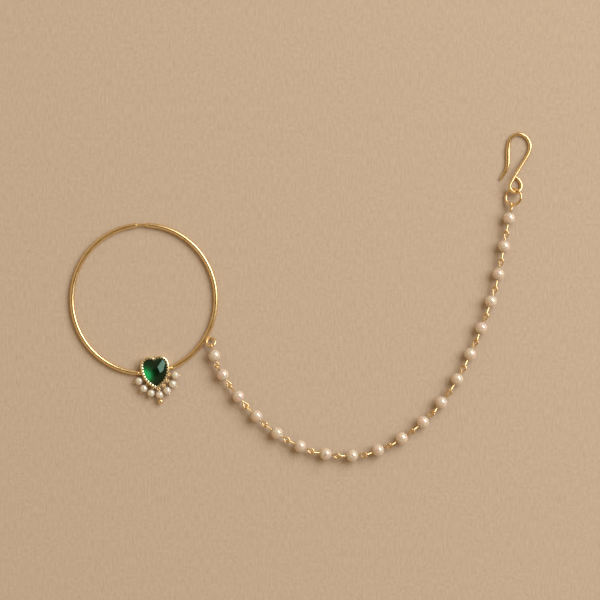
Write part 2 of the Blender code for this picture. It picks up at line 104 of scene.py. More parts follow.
class Shader:
    """A node material under construction."""

    def __init__(self, name: str) -> None:
        """Starts a material with its own Principled shader.

        Args:
            name: the material's name.
        """
        self.material = bpy.data.materials.new(name)
        self.material.use_nodes = True
        self.tree = self.material.node_tree
        self.principled = self.tree.nodes["Principled BSDF"]
        self.place = self.tree.nodes.new("ShaderNodeTexCoord").outputs["Object"]

    def settle(self, **values: float | Colour) -> None:
        """Sets constant values on the shader's own sockets, named with underscores for spaces."""
        for socket, value in values.items():
            self.principled.inputs[socket.replace("_", " ")].default_value = value

    def link(self, output: bpy.types.NodeSocket, socket: str) -> None:
        """Leads an output into one of the shader's sockets."""
        self.tree.links.new(output, self.principled.inputs[socket])

    def stretched(self, scale: Vector, shift: Vector = Vector()) -> bpy.types.NodeSocket:
        """The object's own coordinates, shifted and then scaled.

        Args:
            scale: the factor along each axis.
            shift: what is added to each coordinate first.

        Returns:
            The socket with the new coordinates.
        """
        mapping = self.tree.nodes.new("ShaderNodeMapping")
        mapping.inputs["Location"].default_value = scale * shift
        mapping.inputs["Scale"].default_value = scale
        self.tree.links.new(self.place, mapping.inputs["Vector"])
        return mapping.outputs["Vector"]

    def noise(
        self, grain: float, detail: float = 3.0, place: bpy.types.NodeSocket | None = None
    ) -> bpy.types.NodeSocket:
        """A noise whose features are about one grain across.

        Args:
            grain: the size of a feature, in the units of its coordinates.
            detail: how many finer layers it has.
            place: the coordinates, or None for the object's own.

        Returns:
            The socket with the noise's value.
        """
        texture = self.tree.nodes.new("ShaderNodeTexNoise")
        texture.inputs["Scale"].default_value = 1.0 / grain
        texture.inputs["Detail"].default_value = detail
        self.tree.links.new(place or self.place, texture.inputs["Vector"])
        return texture.outputs["Fac"]

    def ramp(self, value: bpy.types.NodeSocket, stops: Stops) -> bpy.types.NodeSocket:
        """Colours for a value.

        Args:
            value: the socket with the value.
            stops: the value and colour of each stop, in order.

        Returns:
            The socket with the colour.
        """
        node = self.tree.nodes.new("ShaderNodeValToRGB")
        fill_ramp(node.color_ramp, stops)
        self.tree.links.new(value, node.inputs["Fac"])
        return node.outputs["Color"]

    def spread(self, value: bpy.types.NodeSocket, low: float, high: float) -> bpy.types.NodeSocket:
        """Spreads the middle of a noise over the range from low to high.

        Args:
            value: the socket with the noise.
            low: the result at the noise's usual low.
            high: the result at its usual high.

        Returns:
            The socket with the result.
        """
        node = self.tree.nodes.new("ShaderNodeMapRange")
        node.inputs["From Min"].default_value = NOISE_LOW
        node.inputs["From Max"].default_value = NOISE_HIGH
        node.inputs["To Min"].default_value = low
        node.inputs["To Max"].default_value = high
        self.tree.links.new(value, node.inputs["Value"])
        return node.outputs["Result"]

    def mixed(
        self, share: bpy.types.NodeSocket, first: bpy.types.NodeSocket, second: bpy.types.NodeSocket
    ) -> bpy.types.NodeSocket:
        """One value that goes over into another.

        Args:
            share: the socket with the second one's share.
            first: the socket with the value at a share of 0.
            second: the socket with the value at a share of 1.

        Returns:
            The socket with the mixed value.
        """
        node = self.tree.nodes.new("ShaderNodeMix")
        for socket, name in ((share, "Factor"), (first, "A"), (second, "B")):
            self.tree.links.new(socket, node.inputs[name])
        return node.outputs["Result"]

    def bump(self, height: bpy.types.NodeSocket, depth: float) -> None:
        """Gives the surface a relief.

        Args:
            height: the socket with the relief, from 0 to 1.
            depth: how deep the relief is.
        """
        node = self.tree.nodes.new("ShaderNodeBump")
        node.inputs["Distance"].default_value = depth
        self.tree.links.new(height, node.inputs["Height"])
        self.tree.links.new(node.outputs["Normal"], self.principled.inputs["Normal"])


@dataclass(frozen=True)
class GoldFinish:
    """Polished gold plate with faint waves, a change of tone and a few duller places."""

    name: str = "gold_plate"
    deep: Colour = (0.79, 0.54, 0.24, 1.0)
    pale: Colour = (0.90, 0.67, 0.34, 1.0)
    deep_below: float = 0.32
    pale_above: float = 0.68
    tone_grain: float = 0.0022
    wave_grain: float = 0.0016
    wave_depth: float = 0.000003
    polish: tuple[float, float] = (0.23, 0.34)

    def make(self) -> bpy.types.Material:
        """Builds the material.

        Returns:
            The material.
        """
        shader = Shader(self.name)
        shader.settle(Metallic=1.0)
        stops = [(self.deep_below, self.deep), (self.pale_above, self.pale)]
        shader.link(shader.ramp(shader.noise(self.tone_grain), stops), "Base Color")
        wear = shader.noise(self.wave_grain, detail=5.0)
        shader.link(shader.spread(wear, *self.polish), "Roughness")
        shader.bump(shader.noise(self.wave_grain, detail=2.0), self.wave_depth)
        return shader.material


@dataclass(frozen=True)
class PearlFinish:
    """Nacre: a cream ground with faint rose and green clouds under a glossy skin."""

    name: str = "nacre"
    green: Colour = (0.75, 0.63, 0.47, 1.0)
    cream: Colour = (0.78, 0.62, 0.46, 1.0)
    rose: Colour = (0.79, 0.60, 0.47, 1.0)
    limb: Colour = (1.0, 0.86, 0.66, 1.0)
    cloud_stops: tuple[float, float, float] = (0.36, 0.50, 0.64)
    cloud_grain: float = 0.0021
    skin_grain: float = 0.00045
    skin_depth: float = 0.0000012
    polish: tuple[float, float] = (0.19, 0.25)

    def make(self) -> bpy.types.Material:
        """Builds the material.

        Returns:
            The material.
        """
        shader = Shader(self.name)
        shader.settle(
            Metallic=0.10,
            Subsurface_Weight=1.0,
            Subsurface_Radius=(1.0, 0.75, 0.50),
            Subsurface_Scale=0.0030,
            Coat_Weight=1.0,
            Coat_Roughness=0.05,
            Coat_IOR=1.6,
            Sheen_Weight=0.5,
            Sheen_Roughness=0.3,
            Sheen_Tint=self.limb,
            Thin_Film_Thickness=330.0,
            Thin_Film_IOR=1.45,
        )
        clouds = shader.noise(self.cloud_grain, detail=1.0)
        stops = list(zip(self.cloud_stops, (self.green, self.cream, self.rose)))
        shader.link(shader.ramp(clouds, stops), "Base Color")
        shader.link(shader.spread(shader.noise(self.skin_grain), *self.polish), "Roughness")
        shader.bump(shader.noise(self.skin_grain, detail=4.0), self.skin_depth)
        return shader.material


@dataclass(frozen=True)
class StoneFinish:
    """Dark green glass with a painted glow: bright green painted on the side away from the key,
    standing for light that comes through the stone.
    """

    name: str = "green_glass"
    # The ramp runs from the stone's own near-black green out to the painted glow.
    night: Colour = (0.0, 0.007, 0.001, 1.0)
    shade: Colour = (0.0, 0.024, 0.004, 1.0)
    leaf: Colour = (0.0, 0.15, 0.035, 1.0)
    painted_glow: Colour = (0.0, 0.95, 0.30, 1.0)
    sheen: Colour = (0.64, 1.0, 0.70, 1.0)
    painted_glow_stops: tuple[float, float, float, float] = (0.18, 0.38, 0.56, 0.80)
    painted_glow_place: Vector = field(default_factory=lambda: Vector((-0.0031, -0.0012, 0.002)))
    painted_glow_reach: Vector = field(default_factory=lambda: Vector((0.0044, 0.0048, 0.02)))
    cloud_grain: float = 0.0016
    cloud_share: float = 0.16

    def make(self) -> bpy.types.Material:
        """Builds the material.

        Returns:
            The material.
        """
        shader = Shader(self.name)
        shader.settle(Roughness=0.04, IOR=1.48, Specular_Tint=self.sheen)
        # A spherical gradient about the glow's place paints the glow, fading into the dark body; a
        # noise adds clouds to it.
        shrink = Vector(1.0 / reach for reach in self.painted_glow_reach)
        place = shader.stretched(shrink, -self.painted_glow_place)
        gradient = shader.tree.nodes.new("ShaderNodeTexGradient")
        gradient.gradient_type = "SPHERICAL"
        shader.tree.links.new(place, gradient.inputs["Vector"])
        depth = shader.tree.nodes.new("ShaderNodeMath")
        depth.operation = "MULTIPLY_ADD"
        depth.inputs[1].default_value = self.cloud_share
        shader.tree.links.new(shader.noise(self.cloud_grain), depth.inputs[0])
        shader.tree.links.new(gradient.outputs["Fac"], depth.inputs[2])
        stops = list(zip(self.painted_glow_stops, (self.night, self.shade, self.leaf, self.painted_glow)))
        shader.link(shader.ramp(depth.outputs["Value"], stops), "Base Color")
        return shader.material


@dataclass(frozen=True)
class PaperFinish:
    """Tan handmade paper with faint upright fibres."""

    name: str = "tan_paper"
    dark: Colour = (0.503, 0.380, 0.253, 1.0)
    light: Colour = (0.622, 0.477, 0.330, 1.0)
    dark_below: float = 0.25
    light_above: float = 0.75
    fibre_width: float = 0.0005
    fibre_length: float = 0.0024
    fibre_depth: float = 0.00004
    grain: float = 0.0009
    patch: float = 0.008
    fibre_share: tuple[float, float] = (0.15, 0.95)

    def make(self) -> bpy.types.Material:
        """Builds the material.

        Returns:
            The material.
        """
        shader = Shader(self.name)
        shader.settle(Roughness=0.85, Specular_IOR_Level=0.25)
        fine = Vector((1.0 / self.fibre_width, 1.0 / self.fibre_length, 1.0))
        fibres = shader.noise(1.0, detail=4.0, place=shader.stretched(fine))
        patches = shader.spread(shader.noise(self.patch, detail=1.0), *self.fibre_share)
        pulp = shader.mixed(patches, shader.noise(self.grain), fibres)
        stops = [(self.dark_below, self.dark), (self.light_above, self.light)]
        shader.link(shader.ramp(pulp, stops), "Base Color")
        shader.bump(pulp, self.fibre_depth)
        return shader.material


def heading(degrees: float) -> Vector:
    """A level unit vector, turned anticlockwise from +X."""
    return Vector((math.cos(math.radians(degrees)), math.sin(math.radians(degrees)), 0.0))


def turned(degrees: float) -> Matrix:
    """A turn about the upright axis through the origin."""
    return Matrix.Rotation(math.radians(degrees), 4, "Z")


def tilted_plane(place: Vector, tilt: float, rise_turn: float) -> Matrix:
    """A plane through a place.

    Args:
        place: the plane's origin.
        tilt: how steeply it climbs.
        rise_turn: the way it climbs, turned from +X.

    Returns:
        The plane's matrix.
    """
    climb = heading(rise_turn)
    axis = Vector((climb.y, -climb.x, 0.0))
    return Matrix.Translation(place) @ Matrix.Rotation(math.radians(tilt), 4, axis)


def link_frame(place: Vector, along: Vector) -> Matrix:
    """A matrix whose Z runs along a pin and whose Y points up.

    Args:
        place: the matrix's origin.
        along: the way of the pin.

    Returns:
        The matrix.
    """
    along = along.normalized()
    side = UP.cross(along).normalized()
    turn = Matrix((side, along.cross(side), along)).transposed().to_4x4()
    return Matrix.Translation(place) @ turn


def arc(centre: Vector, radius: float, start: float, stop: float, steps: int) -> list[Vector]:
    """Points of a level arc.

    Args:
        centre: the arc's centre.
        radius: its radius.
        start: the turn of its first point.
        stop: the turn of its end, which is left out.
        steps: the number of points.

    Returns:
        The points.
    """
    turns = [start + (stop - start) * i / steps for i in range(steps)]
    return [centre + radius * heading(turn) for turn in turns]


def curve_between(
    before: Vector, start: Vector, stop: Vector, after: Vector, steps: int
) -> list[Vector]:
    """A smooth curve between two points, evened out for points unevenly far apart.

    Args:
        before: the point before the curve.
        start: the curve's first point.
        stop: its end, which is left out.
        after: the point after the curve.
        steps: the number of points.

    Returns:
        The points.
    """
    gap_before = math.sqrt((start - before).length)
    gap = math.sqrt((stop - start).length)
    gap_after = math.sqrt((after - stop).length)
    leave = stop - start
    leave += gap * ((start - before) / gap_before - (stop - before) / (gap_before + gap))
    arrive = stop - start
    arrive += gap * ((after - stop) / gap_after - (after - start) / (gap + gap_after))
    return interpolate_bezier(start, start + leave / 3, stop - arrive / 3, stop, steps + 1)[:-1]


def smooth_path(points: list[Vector], steps: int) -> list[Vector]:
    """A smooth curve through all the points, with its ends led on by mirrored neighbours.

    Args:
        points: the points to pass through.
        steps: the number of steps from each point to the next.

    Returns:
        The curve's points, both ends among them.
    """
    led = [2 * points[0] - points[1]] + points + [2 * points[-1] - points[-2]]
    path = []
    for i in range(len(points) - 1):
        path += curve_between(led[i], led[i + 1], led[i + 2], led[i + 3], steps)
    return path + [points[-1]]


def eased(values: list[float], steps: int) -> list[float]:
    """The values with eased steps between each and the next, as many as smooth_path makes.

    Args:
        values: the values to pass through.
        steps: the number of steps from each value to the next.

    Returns:
        The eased values.
    """
    result = []
    for start, stop in zip(values, values[1:]):
        for i in range(steps):
            result.append(stop + (start - stop) * (0.5 + 0.5 * math.cos(math.pi * i / steps)))
    return result + [values[-1]]


def softened(path: list[Vector], passes: int) -> list[Vector]:
    """The path with its corners worn round, its ends kept.

    Args:
        path: the path's points.
        passes: how often each point moves towards its neighbours.

    Returns:
        The softer path.
    """
    for _ in range(passes):
        middle = [(a + 2 * b + c) / 4 for a, b, c in zip(path, path[1:], path[2:])]
        path = [path[0]] + middle + [path[-1]]
    return path


def even_path(path: list[Vector], step: float) -> list[Vector]:
    """The path again, with more points and its corners kept.

    Args:
        path: the path's points.
        step: about how far apart the points come to lie.

    Returns:
        The path's points.
    """
    points = [path[0]]
    for start, stop in zip(path, path[1:]):
        count = max(1, round((stop - start).length / step))
        points += [start.lerp(stop, (i + 1) / count) for i in range(count)]
    return points


def loft(rings: Sequence[Ring], endless: bool = False) -> bpy.types.Mesh:
    """A smooth closed mesh through rings of equal count.

    Args:
        rings: the rings, in order.
        endless: whether the last ring joins the first. Otherwise both ends are capped.

    Returns:
        The mesh.
    """
    shape = bmesh.new()
    made = [[shape.verts.new(point) for point in ring] for ring in rings]
    pairs = list(zip(made, made[1:]))
    if endless:
        pairs.append((made[-1], made[0]))
    count = len(made[0])
    for lower, upper in pairs:
        for i in range(count):
            j = (i + 1) % count
            shape.faces.new((lower[i], lower[j], upper[j], upper[i]))
    if not endless:
        shape.faces.new(reversed(made[0]))
        shape.faces.new(made[-1])
    bmesh.ops.recalc_face_normals(shape, faces=shape.faces)
    mesh = bpy.data.meshes.new("loft")
    shape.to_mesh(mesh)
    shape.free()
    return mesh


def round_ring(
    centre: Vector, side: Vector, rise: Vector, sides: int, broad: float = 1.0
) -> Ring:
    """A ring of points about a centre.

    Args:
        centre: its middle.
        side: the way and length of its half width.
        rise: the way and length of its half height.
        sides: the number of points.
        broad: a factor on the half width.

    Returns:
        The ring.
    """
    ways = [heading(360.0 * i / sides) for i in range(sides)]
    return [centre + side * (broad * way.x) + rise * way.y for way in ways]


@dataclass
class WireSweep:
    """A round wire along a path, worked out as rings for a loft.

    thins and broads are factors on the wire's size and on its width at each point of the path.
    end_turns and end_reach shape the rings that round off an open end. A wire whose level side is
    shorter than least_side starts upright, and takes +X as its side.
    """

    path: list[Vector]
    diameter: float
    sides: int = 20
    endless: bool = False
    thins: list[float] | None = None
    broads: list[float] | None = None
    end_turns: tuple[float, float, float] = (30.0, 55.0, 75.0)
    end_reach: float = 0.35
    least_side: float = 0.1

    def tangent(self, index: int) -> Vector:
        """The path's way at one of its points.

        Args:
            index: the point's place in the path.

        Returns:
            The way, one long.
        """
        last = len(self.path) - 1
        if self.endless:
            return (self.path[(index + 1) % (last + 1)] - self.path[index - 1]).normalized()
        return (self.path[min(index + 1, last)] - self.path[max(index - 1, 0)]).normalized()

    def rings(self) -> list[Ring]:
        """The wire's rings, with its open ends rounded off.

        Returns:
            The rings.
        """
        rings = []
        side = UP.cross(self.tangent(0))
        if side.length < self.least_side:
            side = heading(0.0)
        last = len(self.path) - 1
        for i, point in enumerate(self.path):
            along = self.tangent(i)
            side = (side - along * side.dot(along)).normalized()
            radius = self.diameter / 2 * (self.thins[i] if self.thins else 1.0)
            broad = self.broads[i] if self.broads else 1.0
            half, rise = side * radius, along.cross(side) * radius
            if not self.endless and i == 0:
                rings += self.rounded(point, -along, half, rise, broad)[::-1]
            rings.append(round_ring(point, half, rise, self.sides, broad))
            if not self.endless and i == last:
                rings += self.rounded(point, along, half, rise, broad)
        return rings

    def rounded(
        self, point: Vector, way: Vector, side: Vector, rise: Vector, broad: float
    ) -> list[Ring]:
        """The rings of a filed end.

        Args:
            point: the path's end.
            way: the way out of the wire.
            side: the half width there.
            rise: the half height there.
            broad: a factor on the half width.

        Returns:
            The rings beyond the point.
        """
        rings = []
        for turn in self.end_turns:
            share = math.cos(math.radians(turn))
            centre = point + way * (self.end_reach * side.length * math.sin(math.radians(turn)))
            rings.append(round_ring(centre, side * share, rise * share, self.sides, broad))
        return rings

    def mesh(self) -> bpy.types.Mesh:
        """The wire's mesh."""
        return loft(self.rings(), self.endless)


def globe(diameter: float, bore: float, sides: int, bands: int) -> list[Ring]:
    """The rings of a ball drilled along Z, from one rim of its hole over the ball to the other.

    Args:
        diameter: the ball's diameter.
        bore: the hole's diameter.
        sides: the number of points in a ring.
        bands: the number of bands from rim to rim.

    Returns:
        The rings, which an endless loft joins through the hole.
    """
    radius = diameter / 2
    edge = math.degrees(math.asin(bore / diameter))
    rings = []
    for i in range(bands + 1):
        way = heading(90.0 - edge - (180.0 - 2 * edge) * i / bands)
        side, rise = Vector((radius * way.x, 0, 0)), Vector((0, radius * way.x, 0))
        rings.append(round_ring(UP * (radius * way.y), side, rise, sides))
    return rings


def ball(diameter: float, bands: int) -> bpy.types.Mesh:
    """A closed ball, with a pole at each end that is too small to see.

    Args:
        diameter: the ball's diameter.
        bands: the number of bands from pole to pole.

    Returns:
        The ball's mesh.
    """
    return loft(globe(diameter, diameter / BALL_TO_POLE, BALL_SIDES, bands))


def joined(meshes: list[bpy.types.Mesh]) -> bpy.types.Mesh:
    """One mesh of several.

    Args:
        meshes: the meshes.

    Returns:
        The joined mesh.
    """
    shape = bmesh.new()
    for mesh in meshes:
        shape.from_mesh(mesh)
    mesh = bpy.data.meshes.new("joined")
    shape.to_mesh(mesh)
    shape.free()
    return mesh


def dress(
    name: str,
    mesh: bpy.types.Mesh,
    finish: bpy.types.Material,
    replaced: str,
    matrix: Matrix | None = None,
) -> None:
    """Makes a piece of a mesh, and hands it to the frame.

    Args:
        name: the piece's name.
        mesh: its mesh.
        finish: its material.
        replaced: the solid that it stands for.
        matrix: where it goes, or None where the mesh is in place already.
    """
    if matrix is not None:
        mesh.transform(matrix)
    mesh.name = name
    mesh.shade_smooth()
    mesh.set_sharp_from_angle(angle=math.radians(SHARP_ANGLE))
    mesh.materials.append(finish)
    piece = bpy.data.objects.new(name, mesh)
    bpy.context.scene.collection.objects.link(piece)
    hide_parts(replaced)
    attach(piece, BODY)
    LOG.info("%s: %d faces, stands for %s", name, len(mesh.polygons), replaced)


@dataclass
class Hoop:
    """The open ring of gold wire, with a bored end and a thin post that slides into it.

    Turns go anticlockwise from +X about the hoop's middle, and step is the turn between two
    sections. The mouth is where the bored end stops and the post comes out of it.
    """

    gold: bpy.types.Material
    width: float = 0.03890
    height: float = 0.04010
    wire: float = 0.00125
    lift: float = 0.00005
    setting_turn: float = 9.0
    mouth_turn: float = 5.7
    post_wire: float = 0.00085
    post_showing: float = 0.0030
    post_insert: float = 0.0020
    post_clearance: float = 0.00006
    post_tip: float = 0.75
    bore_depth: float = 0.0030
    wall_to_edge: float = 5.0
    mouth_outside: float = 0.97
    mouth_inside: float = 1.02
    root_reach: float = 0.0023
    step: float = 1.0
    sides: int = 32

    def centre(self) -> Vector:
        """The middle of the hoop."""
        bottom = heading(self.setting_turn - 90.0)
        return Vector(
            (-self.width / 2 * bottom.x, -self.height / 2 * bottom.y, self.lift + self.wire / 2)
        )

    def point(self, turn: float) -> Vector:
        """The point of the wire's middle line at a turn from +X."""
        way = heading(turn)
        return self.centre() + Vector((self.width / 2 * way.x, self.height / 2 * way.y, 0.0))

    def turn_of(self, length: float) -> float:
        """The turn that a length along the hoop takes."""
        return math.degrees(length / (self.height / 2))

    def ring(self, turn: float, diameter: float) -> Ring:
        """The wire's section at a turn.

        Args:
            turn: the turn from +X.
            diameter: the section's diameter.

        Returns:
            The ring.
        """
        way = heading(turn)
        out = Vector((way.x / self.width, way.y / self.height, 0.0)).normalized()
        return round_ring(self.point(turn), out * diameter / 2, UP * diameter / 2, self.sides)

    def stretch(self, start: float, stop: float, diameter: float) -> list[Ring]:
        """The sections of a stretch of wire.

        Args:
            start: the turn of its first section.
            stop: the turn of its last one.
            diameter: the wire's diameter.

        Returns:
            The rings.
        """
        count = max(1, round(abs(stop - start) / self.step))
        turns = [start + (stop - start) * i / count for i in range(count + 1)]
        return [self.ring(turn, diameter) for turn in turns]

    def bored_wire(self) -> bpy.types.Mesh:
        """The longer side of the hoop, whose end is bored for the post.

        Returns:
            The wire's mesh.
        """
        middle = self.setting_turn - 90.0
        mouth = 90.0 + self.mouth_turn - 360.0
        bore = self.post_wire + 2 * self.post_clearance
        edge = self.turn_of((self.wire - bore) / self.wall_to_edge)
        lip = mouth + edge / 3
        rings = self.stretch(middle - self.turn_of(self.root_reach), mouth + edge, self.wire)
        rings.append(self.ring(lip, self.wire * self.mouth_outside))
        rings.append(self.ring(mouth, (self.wire + bore) / 2))
        rings.append(self.ring(lip, bore * self.mouth_inside))
        rings += self.stretch(mouth + edge, mouth + edge + self.turn_of(self.bore_depth), bore)
        return loft(rings)

    def post_side(self) -> bpy.types.Mesh:
        """The shorter side of the hoop, which thins down to the post.

        Returns:
            The wire's mesh.
        """
        mouth = 90.0 + self.mouth_turn
        shoulder = mouth - self.turn_of(self.post_showing)
        start = self.setting_turn - 90.0 + self.turn_of(self.root_reach)
        chamfer = self.turn_of((self.wire - self.post_wire) / 2)
        stop = mouth + self.turn_of(self.post_insert)
        rings = self.stretch(start, shoulder, self.wire)
        rings.append(self.ring(shoulder + chamfer / 2, (self.wire + self.post_wire) / 2))
        rings += self.stretch(shoulder + chamfer, stop, self.post_wire)
        rings.append(self.ring(stop + chamfer / 2, self.post_wire * self.post_tip))
        return loft(rings)

    def build(self) -> None:
        """Makes and dresses both sides of the hoop."""
        dress("hoop_bored_side", self.bored_wire(), self.gold, GOLD_SOLID)
        dress("hoop_post_side", self.post_side(), self.gold, GOLD_SOLID)


@dataclass
class HeartSetting:
    """The green heart in its flared wall, with small teeth bent over the stone's edge.

    wall_section gives the wall's rings from the back up, each by its offset in wall thicknesses
    and its height in heights of the setting. tooth_section gives the rings over a tooth, each by
    its share of the way inwards and its fall in tooth slopes. A tooth takes up the part of its
    space that tooth_start and tooth_ramp leave it, and the notches between are notch deep.
    """

    gold: bpy.types.Material
    # A paler copy of the gold for the wall and its teeth: painted highlight.
    gold_highlit: bpy.types.Material
    glass: bpy.types.Material
    hoop: Hoop
    turn: float = 5.5
    lobe_radius: float = 0.00195
    lobe_spread: float = 0.00135
    length: float = 0.0077
    tip_radius: float = 0.00045
    side_lean: float = -4.0
    height: float = 0.0023
    wall: float = 0.00055
    lean: float = 0.00024
    seat_height: float = 0.00125
    clearance: float = 0.00006
    dome_height: float = 0.001742
    girdle_share: float = 0.80
    ease: float = 0.00005
    solder_ball: float = 0.00105
    solder_reach: float = 0.8
    lobe_steps: int = 120
    tip_steps: int = 30
    teeth: int = 30
    points_per_tooth: int = 12
    tooth_start: float = 0.9
    tooth_ramp: float = 0.45
    least_tooth: float = 0.1
    tooth_reach: float = 0.00018
    tooth_slope: float = 0.00020
    ridge_share: float = 0.44
    notch: float = 0.00034
    tooth_section: list[tuple[float, float]] = field(
        default_factory=lambda: [
            (0.00, -0.10), (0.12, -0.12), (0.30, 0.00), (0.85, 0.55), (1.00, 0.80), (0.92, 1.30),
        ]
    )
    stone_points: int = 192
    dome_rings: int = 20
    dome_top: float = 88.0
    wall_section: list[tuple[float, float]] = field(
        default_factory=lambda: [
            (0.70, 0.00), (0.78, 0.01), (0.93, 0.07), (1.00, 0.14), (1.00, 0.40), (1.00, 0.86),
            (0.98, 0.90), (0.93, 0.93), (0.82, 0.950), (0.66, 0.975), (0.53, 0.990),
        ]
    )

    def outline(self, offset: float, count: int) -> Ring:
        """The heart's outline, tip down, evenly spaced, starting at the cleft.

        Args:
            offset: how far it is grown outwards.
            count: the number of points.

        Returns:
            The outline's points.
        """
        lobe = Vector((self.lobe_spread, self.length / 2 - self.lobe_radius, 0.0))
        tip = Vector((0.0, self.tip_radius - self.length / 2, 0.0))
        lean = heading(-self.side_lean)
        drop = tip - lobe
        step = self.lobe_radius - self.tip_radius
        reach = (drop.length_squared - step**2) / (2 * (step - drop.dot(lean)))
        centre = lobe - reach * lean
        to_tip = tip - centre
        tip_turn = math.degrees(math.atan2(to_tip.y, to_tip.x))
        cleft = math.degrees(math.acos(-self.lobe_spread / (self.lobe_radius + offset)))
        broad = self.lobe_radius + reach + offset
        half = arc(lobe, self.lobe_radius + offset, cleft, -self.side_lean, self.lobe_steps)
        half += arc(centre, broad, -self.side_lean, tip_turn, self.lobe_steps)
        half += arc(tip, self.tip_radius + offset, tip_turn, -90.0, self.tip_steps)
        low_point = tip - Vector((0.0, self.tip_radius + offset, 0.0))
        mirrored = [Vector((-point.x, point.y, 0.0)) for point in half[:0:-1]]
        return self.evenly(half + [low_point] + mirrored, count)

    def evenly(self, outline: Ring, count: int) -> Ring:
        """A closed outline again, with its points evenly spaced along it.

        Args:
            outline: the outline's points.
            count: the number of points to space along it.

        Returns:
            The evenly spaced points.
        """
        closed = outline + [outline[0]]
        lengths = [0.0]
        for start, stop in zip(closed, closed[1:]):
            lengths.append(lengths[-1] + (stop - start).length)
        points = []
        here = 0
        for i in range(count):
            goal = lengths[-1] * i / count
            while lengths[here + 1] < goal:
                here += 1
            share = (goal - lengths[here]) / (lengths[here + 1] - lengths[here])
            points.append(closed[here].lerp(closed[here + 1], share))
        return points

    def tooth(self, index: int) -> float:
        """How far a point of the rim stands in a tooth.

        Args:
            index: the point's place in the outline.

        Returns:
            A number from 0 between two teeth to 1 at a tip.
        """
        away = abs(2.0 * (index / self.points_per_tooth % 1.0) - 1.0)
        step = min(1.0, max(0.0, (self.tooth_start - away) / self.tooth_ramp))
        return step * step * (3.0 - 2.0 * step)

    def wall_mesh(self) -> bpy.types.Mesh:
        """The solid base, its flared wall, the toothed rim and the seat.

        Returns:
            The wall's mesh.
        """
        count = self.teeth * self.points_per_tooth
        rings = []
        for out, up in self.wall_section:
            move = Vector((self.lean * (up - 0.5), 0.0, up * self.height))
            rings.append([point + move for point in self.outline(out * self.wall, count)])
        rings += self.tooth_rings(count)
        for up in (self.girdle_share * self.height - 2 * self.ease, self.seat_height):
            move = Vector((self.lean / 2, 0.0, up))
            rings.append([point + move for point in self.outline(self.clearance, count)])
        return loft(rings)

    def tooth_rings(self, count: int) -> list[Ring]:
        """The rings that go over the teeth and down again beside the stone's edge.

        Args:
            count: the number of points in a ring.

        Returns:
            The rings.
        """
        ridge = self.outline(self.ridge_share * self.wall, count)
        inner = self.outline(-self.tooth_reach, count)
        least = self.least_tooth
        rings = []
        for inward, fall in self.tooth_section:
            ring = []
            for i in range(count):
                tooth = self.tooth(i)
                point = ridge[i].lerp(inner[i], inward * (least + (1.0 - least) * tooth))
                height = self.height - fall * self.tooth_slope - self.notch * (1.0 - tooth)
                ring.append(point + Vector((self.lean / 2, 0.0, height)))
            rings.append(ring)
        return rings

    def stone_mesh(self) -> bpy.types.Mesh:
        """The stone: an upright girdle and a smooth dome, rounder in outline towards its top.

        Returns:
            The stone's mesh.
        """
        outline = self.outline(0.0, self.stone_points)
        radius = sum(point.length for point in outline) / len(outline)
        girdle = self.girdle_share * self.height - self.ease
        rings = [[point + UP * (self.seat_height + self.clearance) for point in outline]]
        for i in range(self.dome_rings + 1):
            share = math.cos(math.radians(self.dome_top * i / self.dome_rings))
            height = UP * (girdle + self.dome_height * (1.0 - share**2))
            ring = []
            for point in outline:
                rounded = point.normalized() * radius
                ring.append(rounded.lerp(point, share**2) * share + height)
            rings.append(ring)
        mesh = loft(rings)
        mesh.transform(Matrix.Translation((self.lean / 2, 0.0, 0.0)))
        return mesh

    def solder_mesh(self, side: int) -> bpy.types.Mesh:
        """The ball of solder where the hoop meets the setting.

        Args:
            side: -1 for the left side of the setting, 1 for the right.

        Returns:
            The ball's mesh, in place.
        """
        half_width = self.lobe_spread + self.lobe_radius + self.wall
        reach = half_width + self.solder_reach * self.solder_ball
        place = self.hoop.point(self.hoop.setting_turn - 90.0 + side * self.hoop.turn_of(reach))
        place.z += self.hoop.wire / 2 - self.solder_ball / 4
        mesh = ball(self.solder_ball, bands=12)
        mesh.transform(Matrix.Translation(place))
        return mesh

    def build(self) -> None:
        """Makes and dresses the wall, the stone and both solder balls."""
        turn = turned(self.turn)
        # The wall and teeth are dressed in the paler gold, a painted highlight.
        dress("heart_wall", self.wall_mesh(), self.gold_highlit, GOLD_SOLID, turn)
        dress("green_heart", self.stone_mesh(), self.glass, "heart_stone", turn)
        for side, name in ((-1, "solder_left"), (1, "solder_right")):
            dress(name, self.solder_mesh(side), self.gold, GOLD_SOLID)


@dataclass
class PearlMaker:
    """Drilled pearls, each a little out of round in its own way.

    swell is how many waves of the unevenness go across a pearl, drift is the step in it from one
    pearl to the next, and the hole's rim stays round out to smooth_rim times its width.
    """

    nacre: bpy.types.Material
    sides: int = 40
    bands: int = 22
    unevenness: float = 0.018
    swell: float = 0.9
    drift: tuple[float, float, float] = (3.7, 1.9, 5.3)
    smooth_rim: float = 0.6

    def make(
        self, name: str, diameter: float, bore: float, frame: Matrix, seed: int, solid: str
    ) -> None:
        """Makes one pearl.

        Args:
            name: the piece's name.
            diameter: the pearl's diameter.
            bore: its hole's diameter.
            frame: its place, with Z along its hole.
            seed: what tells its shape from the others'.
            solid: the solid that it stands for.
        """
        mesh = loft(globe(diameter, bore, self.sides, self.bands), endless=True)
        drift = Vector([seed * step for step in self.drift])
        for vertex in mesh.vertices:
            place = vertex.co / diameter * self.swell
            away = math.hypot(vertex.co.x, vertex.co.y)
            if away > bore * self.smooth_rim:
                vertex.co *= 1.0 + self.unevenness * (noise.noise(place + drift) - 0.5)
        dress(name, mesh, self.nacre, solid, frame)


